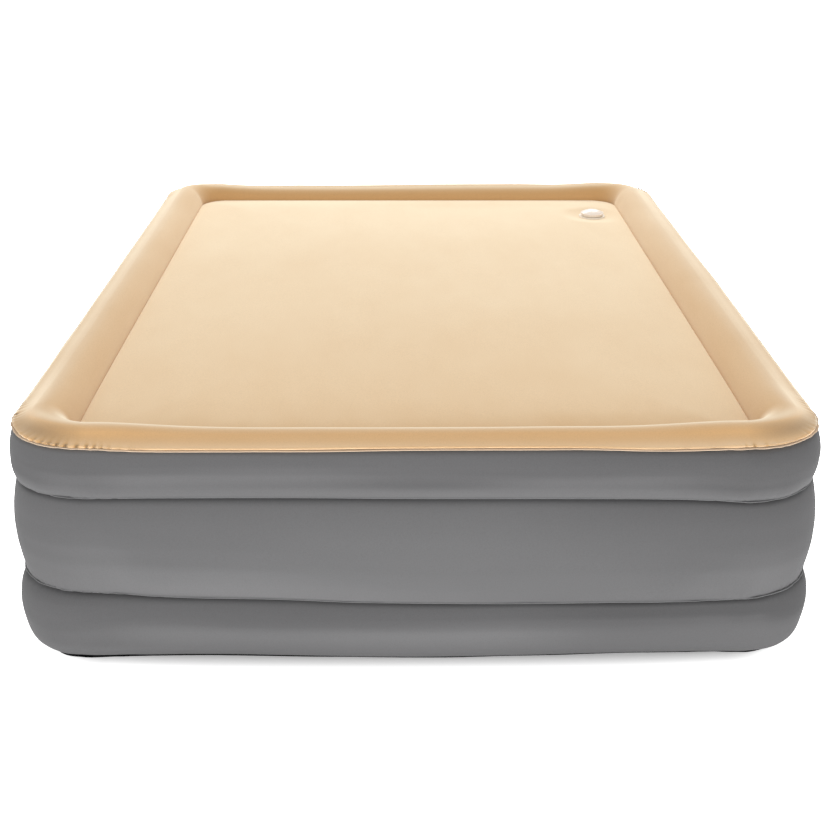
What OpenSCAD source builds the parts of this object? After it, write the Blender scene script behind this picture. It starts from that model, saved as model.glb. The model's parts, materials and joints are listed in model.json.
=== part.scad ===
// Raised queen-size air mattress: three-tier welded air chamber, foam comfort layer
// inside a raised rim, screw-cap inflation valve and a built-in electric pump.
// Origin: middle of the footprint, on the floor. +Z up, +Y towards the head end. Millimetres.

/* [Mattress] */
// Half of the width across the upper tier, at its widest
half_w = 760; // [745:5:800]
// How much longer than wide each half is
extra_l = 255; // [215:5:300]
// Plan radius of the outer corners
corner_r = 170; // [150:5:190]
// Thickness of the welded vinyl sheets, with their flocking
sheet_t = 2; // [1.6:0.1:2.4]

/* [Sleeping panel] */
// Half width of the sleeping panel
panel_hw = 641; // [630:1:645]
// Plan radius of the sleeping panel's corners
panel_r = 75; // [60:1:90]
// Width of one bar of the cored foam
foam_bar = 12; // [10:1:18]
// Columns of cells in the cored foam
foam_cols = 10; // [8:1:14]

/* [Inside the chamber] */
// Number of upright webs in each tier
beam_n = 9; // [7:1:9]
// Half length of each web
beam_hw = 630; // [560:10:640]
// Radius of the air holes in the waist sheets
air_hole_r = 62; // [40:1:66]

/* [Valve] */
// Radius of the valve cap
cap_r = 34; // [32:1:35]
// Radius of the valve bore
bore_r = 15.5; // [14:0.5:16]
// Grip notches round the cap
cap_notches = 30; // [20:2:36]

/* [Pump] */
// Radius of the control knob
knob_r = 23; // [20:1:24]
// Radius of the fan
fan_r = 31; // [26:1:32]
// Number of fan blades
blade_n = 9; // [6:1:12]

/* [Hidden] */

// Corner centre of the plan, in x; in y it is corner_x + extra_l
corner_x = half_w - corner_r;
flat_t = 2;        // thickness of the flat sheets
web_pitch = 200;

// Heights
lower_top = 162;   // top of the lower wall
middle_top = 366;  // top of the middle wall
seam_z = 466;      // welded top seam
deck_z = 400;      // top of the deck sheet
panel_z = 439;     // top of the sleeping panel
crest_z = 480;     // top of the rim

// Bulging walls: half width at the widest, height of the arc centre, arc radius
lower_arc = [half_w + 13, 100, 109.2];
middle_arc = [half_w + 8, 255.2, 330];
upper_arc = [half_w + 1, 424, 110];

// Hinge pins of the check flap, cord door and outlet flap
pin_r = 1;
pin_hole_r = 1.05;

grey = [0.46, 0.46, 0.46];
beige = [0.91, 0.74, 0.54];
cream = [0.93, 0.90, 0.83];
web_grey = [0.80, 0.82, 0.84];
housing_grey = [0.85, 0.85, 0.84];

// ---- Shared shapes ----
// Rods along each axis
module x_rod(x0, x1, y, z, r, fn = 32) {
  translate([x0, y, z]) rotate([0, 90, 0]) cylinder(h = x1 - x0, r = r, $fn = fn);
}
module y_rod(y0, y1, r, x = 0, z = 0, fn = 48) {
  translate([x, y1, z]) rotate([90, 0, 0]) cylinder(h = y1 - y0, r = r, $fn = fn);
}
module z_rod(z0, h, r, fn = 96) {
  translate([0, 0, z0]) cylinder(h = h, r = r, $fn = fn);
}

module rounded_rect(half_x, half_y, r, fn) {
  square([2 * half_x, 2 * (half_y - r)], center = true);
  square([2 * (half_x - r), 2 * half_y], center = true);
  for (i = [-1, 1], j = [-1, 1])
    translate([i * (half_x - r), j * (half_y - r)]) circle(r, $fn = fn);
}

// Flat layer over the mattress plan, its corner centres at x = centre_x
module slab(half_x, z0, z1, centre_x = corner_x) {
  translate([0, 0, z0]) linear_extrude(z1 - z0)
    rounded_rect(half_x, half_x + extra_l, half_x - centre_x, 96);
}

// Upright rounded plate from y0 to y1; size = [half x, half z, corner radius]
module plate(size, y0, y1, x = 0, z = 0) {
  translate([x, y1, z]) rotate([90, 0, 0]) linear_extrude(y1 - y0)
    rounded_rect(size[0], size[1], size[2], 32);
}
function inset(size, d) = size - [d, d, d];

// Box centred on z = 0
module mid_box(x, y, size) {
  translate([x, y, -size[2] / 2]) cube(size);
}

// Sweep a profile (x = half width, y = height) round the mattress plan
module sweep() {
  centre_y = corner_x + extra_l;
  // x side, y side, turn of each corner
  for (q = [[1, 1, 0], [-1, 1, 90], [-1, -1, 180], [1, -1, 270]])
    translate([q[0] * corner_x, q[1] * centre_y, 0]) rotate([0, 0, q[2]])
      rotate_extrude(angle = 90, $fn = 96) translate([-corner_x, 0]) children();
  for (m = [0, 1]) mirror([m, 0, 0])
    rotate([90, 0, 0]) translate([0, 0, -centre_y]) linear_extrude(2 * centre_y) children();
  for (m = [0, 1]) mirror([0, m, 0])
    translate([-corner_x, extra_l, 0]) rotate([90, 0, 90]) linear_extrude(2 * corner_x)
      children();
}

// ---- Air chamber ----
module bulging_wall(arc, z0, z1) {
  r = arc[2];
  centre_x = arc[0] - r;
  sweep() intersection() {
    difference() {
      translate([centre_x, arc[1]]) circle(r, $fn = 180);
      translate([centre_x, arc[1]]) circle(r - sheet_t, $fn = 180);
    }
    translate([centre_x + 1, z0]) square([r + 5, z1 - z0]);
  }
}

// Upright webs of one tier, each with a row of five holes
module webs(z0, z1, hole_r) {
  for (i = [0:beam_n - 1]) {
    y = (i - (beam_n - 1) / 2) * web_pitch;
    difference() {
      translate([-beam_hw, y - sheet_t / 2, z0]) cube([2 * beam_hw, sheet_t, z1 - z0]);
      for (k = [-2:2])
        y_rod(y - sheet_t, y + sheet_t, hole_r, x = k * beam_hw / 2.6, z = (z0 + z1) / 2);
    }
  }
}

// Ties the walls in; its edge is the weld lip outside. Air holes lie between the webs.
module waist(half_x, z0) {
  hole_pitch_x = 300;
  difference() {
    slab(half_x, z0, z0 + flat_t);
    for (i = [0:beam_n - 2], k = [-1.5:1.5])
      translate([k * hole_pitch_x, (i - (beam_n - 2) / 2) * web_pitch, 0])
        z_rod(z0 - 1, flat_t + 2, air_hole_r, fn = 48);
  }
}

module bottom_sheet() {
  color([0.08, 0.08, 0.09]) slab(lower_arc[0] - 61, 0, flat_t);
}
module lower_wall() {
  color(grey) difference() {
    bulging_wall(lower_arc, flat_t, lower_top);
    at_pump() plate(wall_opening, -80, 30);
  }
}
module lower_beams() {
  color(web_grey) webs(flat_t, lower_top, 34);
}
module lower_waist_sheet() {
  color(grey) waist(half_w - 4, lower_top);
}
module middle_wall() {
  color(grey) bulging_wall(middle_arc, lower_top + flat_t, middle_top);
}
module middle_beams() {
  color(web_grey) webs(lower_top + flat_t, middle_top, 45);
}
module upper_waist_sheet() {
  color(grey) waist(half_w - 10, middle_top);
}
module upper_wall() {
  color(grey) bulging_wall(upper_arc, middle_top + flat_t, seam_z);
}
module upper_beams() {
  color(web_grey) webs(middle_top + flat_t, deck_z - flat_t, 9);
}
module deck_sheet() {
  color(web_grey) slab(657, deck_z - flat_t, deck_z);
}
// Upright band between the upper waist sheet and the deck sheet
module trough_tie_band() {
  color(web_grey) sweep() translate([653, middle_top + flat_t])
    square([sheet_t, deck_z - middle_top - 2 * flat_t]);
}

// ---- Comfort layer and rim ----
panel_centre_x = panel_hw - panel_r;

module foam_core() {
  half_x = panel_hw - 5;
  half_y = half_x + extra_l;
  border = 12;
  pitch_x = (2 * half_x - 2 * border) / foam_cols;
  rows = round((2 * half_y - 2 * border) / pitch_x);
  pitch_y = (2 * half_y - 2 * border) / rows;
  color([0.95, 0.88, 0.45]) difference() {
    slab(half_x, deck_z, panel_z - 2, panel_centre_x);
    for (i = [0:foam_cols - 1], j = [0:rows - 1])
      translate([border - half_x + i * pitch_x + foam_bar / 2,
                 border - half_y + j * pitch_y + foam_bar / 2, deck_z - 1])
        cube([pitch_x - foam_bar, pitch_y - foam_bar, 50]);
    translate([valve_x, valve_y, 0]) z_rod(deck_z - 1, 50, 44, fn = 48);
  }
}

module sleep_cover() {
  color(beige) difference() {
    slab(panel_hw, deck_z, panel_z, panel_centre_x);
    slab(panel_hw - sheet_t, deck_z - 1, panel_z - sheet_t, panel_centre_x);
    at_valve() z_rod(-10, 20, 19.5, fn = 64);
  }
}

// Filled rim section, drawn in by d: a roll at each side and the inner leg
module rim_fill(d) {
  inner_x = 680;
  inner_r = 26;
  outer_x = half_w - 38;
  outer_r = 33;
  base_z = deck_z - 10;
  translate([inner_x, crest_z - inner_r]) circle(inner_r - d, $fn = 96);
  translate([outer_x, crest_z - outer_r]) circle(outer_r - d, $fn = 96);
  translate([inner_x, base_z]) square([outer_x - inner_x, crest_z - base_z - d]);
  translate([inner_x - inner_r + d, base_z]) square([60, crest_z - inner_r - base_z]);
}

// Inner leg up from the deck sheet, over the crest and down to the seam, with the weld lip
module rim_cover() {
  color(beige) sweep() {
    difference() {
      rim_fill(0);
      rim_fill(sheet_t);
      translate([600, deck_z - 20]) square([200, 20]);
      translate([690, deck_z - 30]) square([120, seam_z - deck_z + 30]);
    }
    translate([half_w - 12, seam_z]) square([8, 1.6]);
  }
}

// ---- Comfort-layer valve: own axis, z = 0 on top of the sleeping panel ----
valve_x = half_w - 209;
valve_y = half_w + extra_l - 311;
// Hinge axes of the cap strap and the check flap
strap_y = 42.5;
strap_z = 6.5;
flap_y = -19.5;
flap_z = -14;
strap_ear_x = [8, 11.2];  // inner and outer faces of the ears
flap_ear_x = [5, 7.6];
strap_hole_r = 1.3;
flap_bottom = -14.7;
flap_t = 2.2;

module at_valve() {
  translate([valve_x, valve_y, panel_z]) children();
}

// Pair of hinge ears with round ends about the axis at y, z, and webs from z0 to z1
module ears(span, y, z, r, z0, z1) {
  for (m = [0, 1]) mirror([m, 0, 0]) {
    translate([span[0], y - r, z0]) cube([span[1] - span[0], 2 * r, z1 - z0]);
    x_rod(span[0], span[1], y, z, r);
  }
}

module valve_body() {
  // radius, height
  section = [[19, -12], [19, 0], [39, 0], [39, 1.4], [38, 2.5], [20, 2.5],
             [20, 7], [13, 7], [13, -12]];
  spider_z = -13;
  color(cream) at_valve() difference() {
    union() {
      rotate_extrude($fn = 96) polygon(section);
      translate([-12, 30, 0]) cube([24, 18, 2.5]);
      ears(strap_ear_x, strap_y, strap_z, 3.5, 2, strap_z);
      ears(flap_ear_x, flap_y, flap_z, 2.5, flap_z - 1, flap_z + 4.6);
    }
    z_rod(-10, 40, bore_r);
    // seat below the bore, with a spider that keeps the flap from being pushed up
    difference() {
      z_rod(-19, 9.5, bore_r - 1.5);
      translate([-1.2, -20, spider_z]) cube([2.4, 40, 3]);
      translate([-20, -1.2, spider_z]) cube([40, 2.4, 3]);
      z_rod(spider_z, 3, 4, fn = 32);
    }
    x_rod(-12, 12, strap_y, strap_z, strap_hole_r);
    x_rod(-12, 12, flap_y, flap_z, pin_hole_r);
  }
}

module check_flap() {
  knuckle_x = 4.4;
  color([0.35, 0.35, 0.36]) at_valve() difference() {
    union() {
      z_rod(flap_bottom, flap_t, 16.6, fn = 64);
      translate([-knuckle_x, flap_y, flap_bottom]) cube([2 * knuckle_x, 8, flap_t]);
      x_rod(-knuckle_x, knuckle_x, flap_y, flap_z, 1.85);
    }
    x_rod(-12, 12, flap_y, flap_z, pin_hole_r);
  }
}

module flap_pin() {
  color("silver") at_valve() x_rod(-flap_ear_x[1], flap_ear_x[1], flap_y, flap_z, pin_r);
}

// Ring round the cap's neck, with a tongue to the strap hinge
module cap_strap() {
  color(cream) at_valve() difference() {
    union() {
      z_rod(3.6, 3.9, 30.5);
      translate([-6, 26, 3.8]) cube([12, strap_y - 26, 3.4]);
      x_rod(-7.5, 7.5, strap_y, strap_z, 2.4);
    }
    z_rod(1, 10, 25.5);
    x_rod(-12, 12, strap_y, strap_z, strap_hole_r);
  }
}

module strap_pin() {
  color("silver") at_valve() x_rod(-strap_ear_x[1], strap_ear_x[1], strap_y, strap_z, 1.25);
}

module cap_gasket() {
  color([0.2, 0.2, 0.2]) at_valve() difference() {
    z_rod(7.15, 1.35, 20.6);
    z_rod(1, 10, 16);
  }
}

module valve_cap() {
  brim_z = 8.5;
  brim_t = 3;
  dome_r = 60.6;
  dome_top = 21;
  skirt_r = 24.5;
  skirt_z = 2.8;
  color([0.97, 0.96, 0.93]) at_valve() difference() {
    union() {
      // brim and dome
      rotate_extrude($fn = 96) intersection() {
        union() {
          translate([0, brim_z]) square([cap_r, brim_t]);
          difference() {
            translate([0, dome_top - dome_r]) circle(dome_r, $fn = 240);
            translate([-100, brim_z + brim_t - 150.5]) square([200, 150.5]);
          }
        }
        translate([0, 1]) square([cap_r, 30]);
      }
      // skirt, with a lip at its foot
      difference() {
        union() {
          z_rod(4, 5, skirt_r);
          z_rod(skirt_z, 0.6, 26.3);
          z_rod(skirt_z, 2, skirt_r);
        }
        z_rod(-9, 17.5, 21.6);
      }
    }
    for (i = [0:cap_notches - 1]) rotate([0, 0, (i + 0.5) * 360 / cap_notches])
      translate([cap_r + 0.9, 0, 0]) z_rod(1, 20, 1.7, fn = 16);
  }
}

// ---- Built-in pump at the head end ----
// Own frame: y = 0 on the outer face of the weld flange, x = z = 0 in its middle, +y outwards
pump_y = half_w + extra_l + 10;
pump_z = 82;
// half x, half z, corner radius
wall_opening = [118, 66, 14];
switch_window = [12, 8.5, 1.5];
intake_size = [18, 24, 3];
// bays of the housing
bay_half_x = 97;
blower_bay_x1 = 12;
cord_bay_x0 = 15;
// cord: coil centre, coil radius, and where the cord passes between the bays
coil_x = (cord_bay_x0 + bay_half_x) / 2;
coil_r = 28;
plug_x = coil_x - coil_r;
cord_y = -120;
cord_z = -20;
// knob shaft
knob_shaft_r = 5;
// door pin axis, and half length of the pin
door_pin_x = 100;
door_pin_y = 5.5;
door_pin_half = 45.5;
knuckle_h = 78;
// air outlet, and its flap's hinge axis
outlet_x = -80;
outlet_w = 26;
outlet_y = -86;
hinge_y = -88.5;
hinge_z = 49.6;
ear_w = 2.6;
hinge_end = 4.5;   // how far the ears reach past each side of the outlet
// motor leads
lead_x = -10;
lead_y = -110;
lead_z = 30;
motor_r = 23;

module at_pump() {
  translate([0, pump_y, pump_z]) children();
}
// Places within the pump frame
module at_knob() {
  translate([-64, 0, 0]) children();
}
module at_switch() {
  translate([-10, 0, 26]) children();
}
module at_intake() {
  translate([-10, 0, -16]) children();
}
fan_x = -44;
module at_fan() {
  translate([fan_x, 0, 0]) children();
}
module at_door_pin() {
  translate([door_pin_x, door_pin_y, 0]) children();
}
module screw_spots() {
  for (i = [-1, 1], j = [-1, 1]) translate([i * 105, 0, j * 53]) children();
}
module mount_spots() {
  for (i = [-1, 1], j = [-1, 1]) at_fan() translate([i * 43, 0, j * 36]) children();
}

module pump_weld_flange() {
  color(grey) at_pump() difference() {
    plate(inset(wall_opening, 0.3), -43, 0);
    plate(inset(wall_opening, 4), -50, -3);
    plate([100, 48, 8], -50, 1);
    screw_spots() y_rod(-10, 1, 2.3);
  }
}

module bay(x0, x1) {
  plate([(x1 - x0) / 2, 45, 6], -148, 1, x = (x0 + x1) / 2);
}

module pump_housing() {
  color(housing_grey) at_pump() difference() {
    union() {
      plate([99.6, 47.6, 8], -151, -3.2);
      plate([111, 59, 9], -6, -3.2);
    }
    bay(-bay_half_x, blower_bay_x1);
    bay(cord_bay_x0, bay_half_x);
    // way out for the air, in the top wall
    translate([outlet_x, outlet_y, 40]) cube([outlet_w, 24, 20]);
    // cord hole between the bays
    x_rod(8, 20, cord_y, cord_z, 4);
    screw_spots() y_rod(-10, 1, 2.05);
  }
  // ears that carry the outlet flap
  color(housing_grey) at_pump()
    for (x = [outlet_x - hinge_end, outlet_x + outlet_w + hinge_end - ear_w]) difference() {
      translate([x, hinge_y - 2.5, 47.4]) cube([ear_w, 5, 4.8]);
      x_rod(x - 1, x + 4, hinge_y, hinge_z, pin_hole_r);
    }
}

module pump_faceplate() {
  lug_r = 2.6;
  lug_h = 6;
  color([0.30, 0.30, 0.31]) at_pump() difference() {
    union() {
      plate([112, 60, 12], 0.02, 4);
      // hinge lugs for the cord door
      for (z = [-door_pin_half, door_pin_half - lug_h]) at_door_pin() {
        z_rod(z, lug_h, lug_r, fn = 32);
        translate([-lug_r, -3, z]) cube([2 * lug_r, 3, lug_h]);
      }
      // raised collar round the knob
      at_knob() y_rod(3, 6, knob_r + 5, fn = 96);
    }
    at_knob() {
      y_rod(3.5, 10, knob_r + 2, fn = 96);
      y_rod(-1, 10, knob_shaft_r + 0.06, fn = 64);
    }
    at_switch() plate(switch_window, -1, 10);
    at_intake() plate(intake_size + [0.2, 0.2, 0], -1, 10);
    // door opening, and the slot for its knuckle
    mid_box(18, -1, [80, 10, 92]);
    mid_box(97, -1, [6.2, 10, knuckle_h + 0.8]);
    for (z = [-50, 30]) at_door_pin() z_rod(z, 20, pin_hole_r, fn = 32);
    screw_spots() {
      y_rod(-1, 5, 2.3);
      y_rod(2, 5, 4.3);
    }
  }
}

// Cross-head screws
module faceplate_screws() {
  color("silver") at_pump() screw_spots() difference() {
    union() {
      y_rod(-9, 2, 2);
      y_rod(2, 3.6, 4);
    }
    for (a = [0, 90]) translate([0, 3.6, 0]) rotate([0, a, 0])
      cube([4.6, 1.6, 1], center = true);
  }
}

module control_knob() {
  color([0.16, 0.16, 0.17]) at_pump() at_knob() {
    difference() {
      union() {
        y_rod(3.9, 9, knob_r, fn = 96);
        translate([0, 14, 0]) cube([10, 10.2, 2 * knob_r - 5], center = true);
      }
      // grip notches, then the mark on the bar's upper end
      for (a = [0:15:345]) rotate([0, a, 0]) y_rod(0, 20, 1.3, x = knob_r + 0.6, fn = 16);
      translate([0, 19.4, knob_r - 8]) cube([2.4, 2, 6], center = true);
    }
    y_rod(-22, 5, knob_shaft_r, fn = 64);
  }
}

module diverter_disc() {
  color([0.75, 0.75, 0.76]) at_pump() at_knob() difference() {
    union() {
      y_rod(-26, -23, 28, fn = 96);
      y_rod(-26, -16, 8);
    }
    y_rod(-22.02, -10, knob_shaft_r + 0.05, fn = 64);
    for (a = [45, 225]) rotate([0, a, 0]) y_rod(-30, -20, 7, x = 17);
  }
}

module intake_grille() {
  color([0.20, 0.20, 0.21]) at_pump() at_intake() difference() {
    union() {
      plate(intake_size, -2.6, 3.2);
      plate(intake_size + [1, 1, 0], -2.6, -0.1);
    }
    // filter pocket, then the slots
    plate([15, 21, 2], -4, 0.4);
    for (i = [-4:4]) plate([14.5, 1.1, 1], -6, 5, z = i * 4.6);
  }
}

module dust_filter() {
  color([0.25, 0.25, 0.27]) at_pump() at_intake() plate([14.8, 20.8, 2], -2.2, 0.3);
}

rocker_y = 1;   // depth of the rocker's pivot

module switch_body() {
  color([0.12, 0.12, 0.13]) at_pump() at_switch() difference() {
    plate(inset(switch_window, 0.2), -20, 4.4);
    plate([10.2, 6.9, 0.8], -8, 5);
    x_rod(-12.5, 12.5, rocker_y, 0, 1.55);
  }
}

// Rocker, resting in its "off" tilt
module power_rocker() {
  color([0.65, 0.12, 0.10]) at_pump() at_switch() translate([0, rocker_y, 0])
    rotate([8, 0, 0]) {
      x_rod(-11.4, 11.4, 0, 0, 1.5);
      difference() {
        translate([-9.8, -5, -6]) cube([19.6, 9.6, 12]);
        // scooped outer face and tapered inner end
        for (s = [-1, 1]) {
          x_rod(-10, 10, 9.8, s * 7.6, 7, fn = 64);
          translate([0, -5, s * 7]) rotate([s * 12, 0, 0]) cube([30, 12, 2], center = true);
        }
      }
    }
}

module cord_door() {
  color([0.27, 0.27, 0.28]) at_pump() difference() {
    union() {
      mid_box(18.8, 0.6, [78.4, 2.6, 90.4]);
      // knuckle and the two strips that join it to the door
      at_door_pin() z_rod(-knuckle_h / 2, knuckle_h, 2.2, fn = 32);
      mid_box(95, 0.6, [3, 5.6, knuckle_h]);
      mid_box(96, door_pin_y - 1.2, [4, 2, knuckle_h]);
      // latch tongue
      mid_box(20, -3.2, [3, 4, 16]);
    }
    at_door_pin() z_rod(-50, 100, pin_hole_r, fn = 32);
    // finger pull, then the grooves
    y_rod(2, 3.2, 8, x = 22);
    for (i = [-3:3]) translate([40, 2.6, i * 10 - 1]) cube([46, 2, 2]);
  }
}

module door_pin() {
  color("silver") at_pump() at_door_pin()
    z_rod(-door_pin_half, 2 * door_pin_half, pin_r, fn = 32);
}

// Cord wound flat in its bay
module power_cord() {
  cord_r = 3.5;
  color([0.09, 0.09, 0.10]) at_pump() {
    for (k = [0:4]) translate([coil_x, -128 + k * 7, 0]) rotate([90, 0, 0])
      rotate_extrude($fn = 96) translate([coil_r, 0]) circle(cord_r + 0.05, $fn = 32);
    y_rod(-100, -60, cord_r, x = plug_x, fn = 32);
    x_rod(12, 36, cord_y, cord_z, 3.4);
    translate([34, cord_y, cord_z]) sphere(cord_r, $fn = 32);
  }
}

module power_plug() {
  color([0.10, 0.10, 0.11]) at_pump() translate([plug_x, 0, 0]) {
    y_rod(-60, -50, 5, fn = 32);
    plate([11, 13, 5], -50, -24);
    for (s = [-1, 1]) translate([-3, -24.5, s * 6.35 - 0.8]) cube([6, 16, 1.6]);
  }
}

module motor() {
  color([0.62, 0.63, 0.65]) at_pump() at_fan() difference() {
    union() {
      y_rod(-142, -98, motor_r, fn = 96);
      y_rod(-98.1, -94, 8);
      y_rod(-146, -141.9, 9);
    }
    y_rod(-150, -90, 2.06);
    for (a = [0:60:300]) rotate([0, a, 0]) translate([0, -120, motor_r])
      cube([5, 26, 3], center = true);
  }
}

module motor_mount() {
  color([0.55, 0.56, 0.58]) at_pump() difference() {
    plate([53, 44.6, 6], -93.5, -91, x = fan_x + 1.5);
    at_fan() y_rod(-100, -80, 9);
    mount_spots() y_rod(-100, -80, 4.05);
    // slot for the leads
    plate([8, 3.5, 3], -100, -80, x = lead_x, z = lead_z);
  }
}

module mount_bushes() {
  color([0.1, 0.1, 0.1]) at_pump() mount_spots() difference() {
    union() {
      y_rod(-93.4, -90.9, 4);
      y_rod(-90.9, -88.5, 6);
      y_rod(-96, -93.6, 6);
    }
    y_rod(-100, -80, 1.8);
  }
}

module fan_shaft() {
  color("silver") at_pump() at_fan() y_rod(-148, -62, 2);
}

module fan() {
  color([0.92, 0.92, 0.90]) at_pump() at_fan() difference() {
    union() {
      y_rod(-84, -82, fan_r, fn = 96);
      y_rod(-84, -66, 6);
      for (i = [0:blade_n - 1]) rotate([0, i * 360 / blade_n, 0])
        translate([5, -82.5, -0.9]) rotate([0, 14, 0]) cube([fan_r - 7, 14, 1.8]);
    }
    y_rod(-90, -60, 2.005);
  }
}

// Round casing with a square duct up to the outlet
module fan_scroll() {
  color([0.88, 0.88, 0.87]) at_pump() difference() {
    union() {
      at_fan() y_rod(-88, -62, fan_r + 6, fn = 96);
      translate([outlet_x - 0.5, -88, 4]) cube([27, 26, 40.8]);
    }
    at_fan() y_rod(-86, -64, fan_r + 3.6, fn = 96);
    translate([outlet_x + 1.5, -86, 6]) cube([23, 22, 50]);
    at_fan() {
      y_rod(-90, -60, 9);
      y_rod(-65, -60, 17, fn = 64);
    }
  }
}

module outlet_flap() {
  x0 = outlet_x - 1.4;
  width = outlet_w + 2.8;
  color([0.30, 0.30, 0.31]) at_pump() difference() {
    union() {
      translate([x0, -87.4, 47.9]) cube([width, 27, 1.6]);
      translate([x0, -89, 48.2]) cube([width, 3, 1.3]);
      x_rod(x0, x0 + width, hinge_y, hinge_z, 1.9);
    }
    x_rod(outlet_x - 10, outlet_x + 40, hinge_y, hinge_z, pin_hole_r);
  }
}

module outlet_flap_pin() {
  color("silver") at_pump()
    x_rod(outlet_x - hinge_end, outlet_x + outlet_w + hinge_end, hinge_y, hinge_z, pin_r);
}

module lead_wires() {
  r = 1.2;
  x0 = fan_x + motor_r + 0.2;
  color([0.75, 0.10, 0.08]) at_pump() for (x = [lead_x - 4, lead_x + 4]) {
    y_rod(lead_y, -20.2, r, x = x, z = lead_z, fn = 24);
    translate([x, lead_y, lead_z]) sphere(r, $fn = 24);
    x_rod(x0, x, lead_y, lead_z, r, fn = 24);
  }
}

bottom_sheet();
lower_wall();
lower_beams();
lower_waist_sheet();
middle_wall();
middle_beams();
upper_waist_sheet();
upper_wall();
upper_beams();
deck_sheet();
trough_tie_band();
foam_core();
sleep_cover();
rim_cover();
valve_body();
check_flap();
flap_pin();
cap_strap();
strap_pin();
cap_gasket();
valve_cap();
pump_weld_flange();
pump_housing();
pump_faceplate();
faceplate_screws();
control_knob();
diverter_disc();
intake_grille();
dust_filter();
switch_body();
power_rocker();
cord_door();
door_pin();
power_cord();
power_plug();
motor();
motor_mount();
mount_bushes();
fan_shaft();
fan();
fan_scroll();
outlet_flap();
outlet_flap_pin();
lead_wires();
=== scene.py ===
"""Raised air bed: three grey flocked tiers, a tan rim bolster and a tan sleeping panel.

Metres, z up. The bed stands on z = 0, centred on the z axis, with its length along y. The head
end, with the pump, is +y; the foot end, nearest the camera, is -y. Left is -x and right is +x.
"""
import json
import math

import bmesh
import bpy
import numpy as np
from mathutils import Matrix, Vector


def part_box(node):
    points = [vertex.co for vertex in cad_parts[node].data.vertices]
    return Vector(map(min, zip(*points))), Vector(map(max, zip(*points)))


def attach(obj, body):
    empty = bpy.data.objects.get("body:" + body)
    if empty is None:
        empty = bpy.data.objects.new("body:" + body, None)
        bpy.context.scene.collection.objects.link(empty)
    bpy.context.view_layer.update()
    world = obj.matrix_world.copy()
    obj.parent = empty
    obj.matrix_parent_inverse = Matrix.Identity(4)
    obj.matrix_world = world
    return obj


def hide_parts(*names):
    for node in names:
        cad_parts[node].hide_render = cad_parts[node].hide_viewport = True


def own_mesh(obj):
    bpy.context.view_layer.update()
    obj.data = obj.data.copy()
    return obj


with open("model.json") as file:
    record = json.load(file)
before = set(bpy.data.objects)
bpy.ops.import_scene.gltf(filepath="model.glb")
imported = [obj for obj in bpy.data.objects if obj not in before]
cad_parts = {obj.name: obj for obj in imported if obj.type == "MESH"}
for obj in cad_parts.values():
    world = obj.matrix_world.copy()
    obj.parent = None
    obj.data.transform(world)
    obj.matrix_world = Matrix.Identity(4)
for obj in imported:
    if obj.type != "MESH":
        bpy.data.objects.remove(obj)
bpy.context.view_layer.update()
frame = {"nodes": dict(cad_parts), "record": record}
nodes = frame["nodes"]

# ---------------------------------------------------------------- driving dimensions
low_min, low_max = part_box("lower_wall")
mid_min, mid_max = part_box("middle_wall")
top_min, top_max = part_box("upper_wall")
panel_min, panel_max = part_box("sleep_cover")
rim_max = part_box("rim_cover")[1]
bottom_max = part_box("bottom_sheet")[1]
pump_min, pump_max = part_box("pump_weld_flange")
valve_min, valve_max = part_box("valve_cap")

CORNER_X = top_max.x - 0.170                        # centres of the outer corners
CORNER_Y = CORNER_X + (top_max.y - top_max.x)
Z_SEAM = top_max.z                                  # seam between upper tier and rim
Z_WALL_TOP = Z_SEAM - 0.0006                        # the wall's sheet ends under the top lip
SKIN = 0.0018                                       # thickness of a flocked sheet
VALVE_X = (valve_min.x + valve_max.x) / 2
VALVE_Y = (valve_min.y + valve_max.y) / 2
FINE = 0.0024                  # spacing round the corners
COARSE = 0.014                  # widest spacing along the sides
CORNER_FADE = 0.085                                 # reach of a corner's gathers along a side
PITCH = 0.0165                                      # spacing of the gathers in the walls


# ---------------------------------------------------------------- curves and noise
def smooth01(t):
    t = np.clip(t, 0, 1)
    return t * t * (3 - 2 * t)


def pchip(at, values, x):
    """Shape-keeping cubic through the knots."""
    at, values, x = (np.asarray(v, float) for v in (at, values, x))
    gap = np.diff(at)
    rise = np.diff(values) / gap
    slope = np.zeros(len(at))
    for i in range(1, len(at) - 1):
        if rise[i - 1] * rise[i] > 0:
            before, after = 2 * gap[i] + gap[i - 1], gap[i] + 2 * gap[i - 1]
            slope[i] = (before + after) / (before / rise[i - 1] + after / rise[i])
    slope[0] = 1.5 * rise[0] - 0.5 * slope[1]
    slope[-1] = 1.5 * rise[-1] - 0.5 * slope[-2]
    i = np.clip(np.searchsorted(at, x) - 1, 0, len(gap) - 1)
    t = (x - at[i]) / gap[i]
    return (values[i] * (1 + 2 * t) * (1 - t) ** 2 + slope[i] * gap[i] * t * (1 - t) ** 2
            + values[i + 1] * t * t * (3 - 2 * t) + slope[i + 1] * gap[i] * t * t * (t - 1))


def spline(points, count):
    """Catmull-Rom curve through the points, resampled at even distances."""
    points = np.asarray(points, float)
    ext = np.vstack([2 * points[0] - points[1], points, 2 * points[-1] - points[-2]])
    out = []
    for i in range(1, len(ext) - 2):
        p0, p1, p2, p3 = ext[i - 1:i + 3]
        for t in np.linspace(0, 1, 12, endpoint=False):
            out.append(0.5 * ((2 * p1) + (-p0 + p2) * t
                              + (2 * p0 - 5 * p1 + 4 * p2 - p3) * t * t
                              + (-p0 + 3 * p1 - 3 * p2 + p3) * t ** 3))
    out.append(ext[-2])
    out = np.array(out)
    run = np.concatenate([[0], np.cumsum(np.linalg.norm(np.diff(out, axis=0), axis=1))])
    even = np.linspace(0, run[-1], count)
    return np.stack([np.interp(even, run, out[:, 0]), np.interp(even, run, out[:, 1])], 1)


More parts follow.
